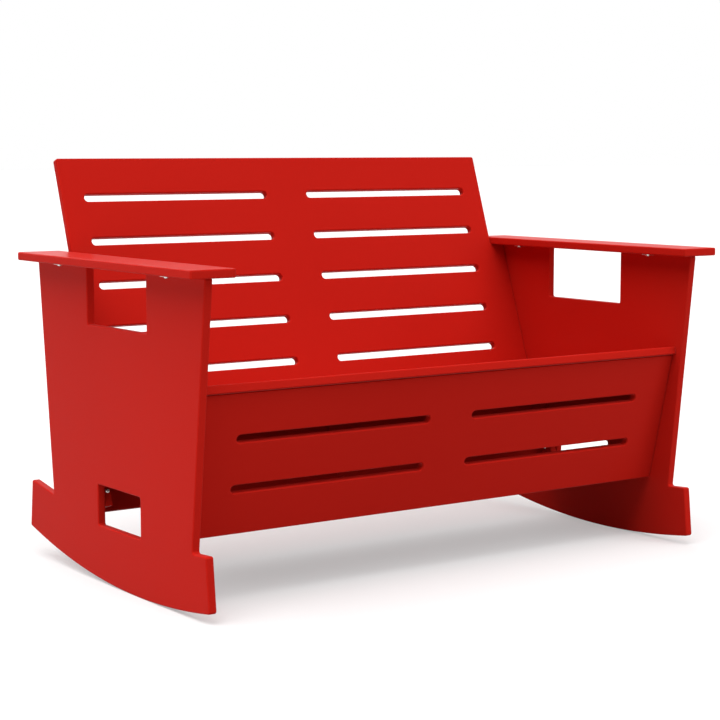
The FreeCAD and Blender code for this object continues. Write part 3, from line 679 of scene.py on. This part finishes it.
def screws(name, node, way, domed=True):
    """All screws of a group as one piece that replaces their solid."""
    starts, length = find_screws(node, way)
    grid = screw_grid(length, domed)
    rows, columns = grid.shape[:2]
    turn = np.array(Vector(way).to_track_quat("Z", "Y").to_matrix())
    one = grid.reshape(-1, 3) @ turn.T
    points = (starts[:, None] + one[None]).reshape(-1, 3)
    quads = grid_faces(rows, columns, 0, False)[:, ::-1]
    faces = (quads[None] + (np.arange(len(starts)) * len(one))[:, None, None]).reshape(-1, 4)
    mesh = bpy.data.meshes.new(name)
    mesh.from_pydata(points.tolist(), [], faces.tolist())
    welded = bmesh.new()
    welded.from_mesh(mesh)
    bmesh.ops.remove_doubles(welded, verts=welded.verts, dist=1e-6)
    bmesh.ops.recalc_face_normals(welded, faces=welded.faces)
    welded.to_mesh(mesh)
    welded.free()
    mesh.shade_smooth()
    mesh.set_sharp_from_angle(angle=math.radians(38))
    piece = bpy.data.objects.new(name, mesh)
    bpy.context.scene.collection.objects.link(piece)
    mesh.materials.append(SCREW)
    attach(piece, "root")
    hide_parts(node)
    print(f"{name}: {len(starts)} screws of {length * 1000:.0f} mm, {len(mesh.polygons)} faces")
    return piece


backward = tuple(-c for c in through_apron)
screws("left_cleat_screw_heads", "left_side_screws", (-1, 0, 0))
screws("right_cleat_screw_heads", "right_side_screws", (1, 0, 0))
screws("rib_screw_heads", "rib_screws", (-1, 0, 0))
screws("apron_screw_heads", "apron_screws", backward)
screws("back_screw_heads", "back_screws", through_back)
screws("seat_screw_heads", "seat_screws", through_seat)
for side_name in ("left", "right"):
    screws(f"{side_name}_arm_screw_heads", f"{side_name}_arm_screws", (0, 0, 1))
    screws(f"{side_name}_strap_screw_heads", f"{side_name}_strap_screws", (0, 0, -1), domed=False)

# %% [markdown]
# ## The studio
# The bench stands on a pale floor that runs on to a white horizon. Wide lamps high on the left,
# in front and behind do most of the work: they light the arms most, and leave a soft shadow
# under each arm and under the seat's edge. Two weak lamps close by lift the left side and the
# apron's right end. What the camera and any gloss see of the world is plain white.

# %% White to the eye
def seen_directly(tree):
    """1 for rays of the camera, of gloss and through glass, and 0 for the lighting's rays."""
    path = add(tree, "ShaderNodeLightPath")
    direct = add(tree, "ShaderNodeMath", {0: path.outputs["Is Camera Ray"],
                                          1: path.outputs["Is Glossy Ray"]}, operation="MAXIMUM")
    return add(tree, "ShaderNodeMath", {0: direct.outputs[0],
                                        1: path.outputs["Is Transmission Ray"]},
               operation="MAXIMUM").outputs[0]


SKY_FILL = 0.02


def studio_world():
    """A dim even sky for the lighting, and plain white for what is seen."""
    world = bpy.data.worlds.new("studio_sky")
    world.use_nodes = True
    tree = world.node_tree
    tree.nodes.clear()
    sky = add(tree, "ShaderNodeBackground", {"Strength": SKY_FILL})
    white = add(tree, "ShaderNodeBackground", {"Color": (1, 1, 1, 1), "Strength": 1.0})
    mix = add(tree, "ShaderNodeMixShader", {0: seen_directly(tree), 1: sky.outputs[0],
                                            2: white.outputs[0]})
    add(tree, "ShaderNodeOutputWorld", {0: mix.outputs[0]})
    return world


bpy.context.scene.world = studio_world()
bpy.context.scene.view_settings.view_transform = "Standard"
print("sky fill", SKY_FILL)

# %% The floor
FLOOR_LIT = 0.33
FLOOR_SEEN = 0.6
FLOOR_GLOW = 0.35
FLOOR_REACH = 60.0


def floor_material():
    """A pale floor that reads white where it is lit, and keeps the bench's shadow.

    The lighting meets a darker grey, so that less light comes back up under the seat.
    """
    material = bpy.data.materials.new("studio_floor")
    material.use_nodes = True
    tree = material.node_tree
    tree.nodes.clear()
    bounce = add(tree, "ShaderNodeBsdfDiffuse", {"Color": (FLOOR_LIT, FLOOR_LIT, FLOOR_LIT, 1)})
    shown = add(tree, "ShaderNodeBsdfDiffuse", {"Color": (FLOOR_SEEN, FLOOR_SEEN, FLOOR_SEEN, 1)})
    glow = add(tree, "ShaderNodeEmission", {"Color": (1, 1, 1, 1), "Strength": FLOOR_GLOW})
    bright = add(tree, "ShaderNodeAddShader", {0: shown.outputs[0], 1: glow.outputs[0]})
    mix = add(tree, "ShaderNodeMixShader", {0: seen_directly(tree), 1: bounce.outputs[0],
                                            2: bright.outputs[0]})
    add(tree, "ShaderNodeOutputMaterial", {0: mix.outputs[0]})
    return material


floor_mesh = bpy.data.meshes.new("studio_floor")
floor_corners = [(x * FLOOR_REACH, y * FLOOR_REACH, 0.0)
                 for x, y in ((-1, -1), (1, -1), (1, 1), (-1, 1))]
floor_mesh.from_pydata(floor_corners, [], [(0, 1, 2, 3)])
floor_mesh.materials.append(floor_material())
floor = bpy.data.objects.new("studio_floor", floor_mesh)
bpy.context.scene.collection.objects.link(floor)
print("floor", 2 * FLOOR_REACH, "m wide")

# %% The lamps
def soft_lamp(name, azimuth, elevation, spread, strength):
    """A far lamp: azimuth from the front towards the left, elevation and spread in degrees."""
    lamp = bpy.data.lights.new(name, "SUN")
    lamp.energy = strength
    lamp.angle = math.radians(spread)
    holder = bpy.data.objects.new(name, lamp)
    bpy.context.scene.collection.objects.link(holder)
    a, e = math.radians(azimuth), math.radians(elevation)
    back = Vector((-math.sin(a) * math.cos(e), -math.cos(a) * math.cos(e), math.sin(e)))
    holder.rotation_euler = back.to_track_quat("Z", "Y").to_euler()
    return holder


soft_lamp("left_lamp", 90, 64, 60, 2.25)
soft_lamp("front_lamp", 0, 60, 60, 1.35)
soft_lamp("rear_lamp", 180, 35, 60, 1.5)
soft_lamp("right_lamp", -60, 50, 60, 0.3)
soft_lamp("low_front_lamp", -10, 20, 60, 0.55)


def near_lamp(name, place, way, width, height, watts):
    """A lamp close to the bench, which fades with distance and which no gloss shows."""
    lamp = bpy.data.lights.new(name, "AREA")
    lamp.energy = watts
    lamp.shape = "RECTANGLE"
    lamp.size, lamp.size_y = width, height
    holder = bpy.data.objects.new(name, lamp)
    bpy.context.scene.collection.objects.link(holder)
    holder.location = place
    holder.rotation_euler = Vector(way).to_track_quat("-Z", "Y").to_euler()
    holder.visible_camera = False
    holder.visible_glossy = False
    return holder


near_lamp("low_left_lamp", (-2.2, -0.3, 0.2), (1, 0, 0), 2.0, 0.4, 9.0)
near_lamp("right_front_lamp", (2.2, -2.0, 0.9), (-0.72, 0.66, -0.16), 1.2, 1.2, 8.4)
print("lamps:", len(bpy.data.lights))

# %% [markdown]
# ## The camera
# The bench is seen from its front left, 35 degrees round and a little above the arms, through
# a long lens, so that upright edges stay upright and the far arm isn't much smaller.

# %% The camera
VIEW_FROM = (-2.31457, -3.25824, 0.87163)
VIEW_DOWN, VIEW_ROUND = 6.494, 35.151
LENS, SENSOR = 93.33, 36.0
camera_data = bpy.data.cameras.new("studio_camera")
camera_data.lens = LENS
camera_data.sensor_width = SENSOR
camera_data.clip_end = 200
camera = bpy.data.objects.new("studio_camera", camera_data)
bpy.context.scene.collection.objects.link(camera)
camera.location = VIEW_FROM
camera.rotation_euler = (math.radians(90 - VIEW_DOWN), 0, math.radians(-VIEW_ROUND))
bpy.context.scene.camera = camera
print("camera at", VIEW_FROM)
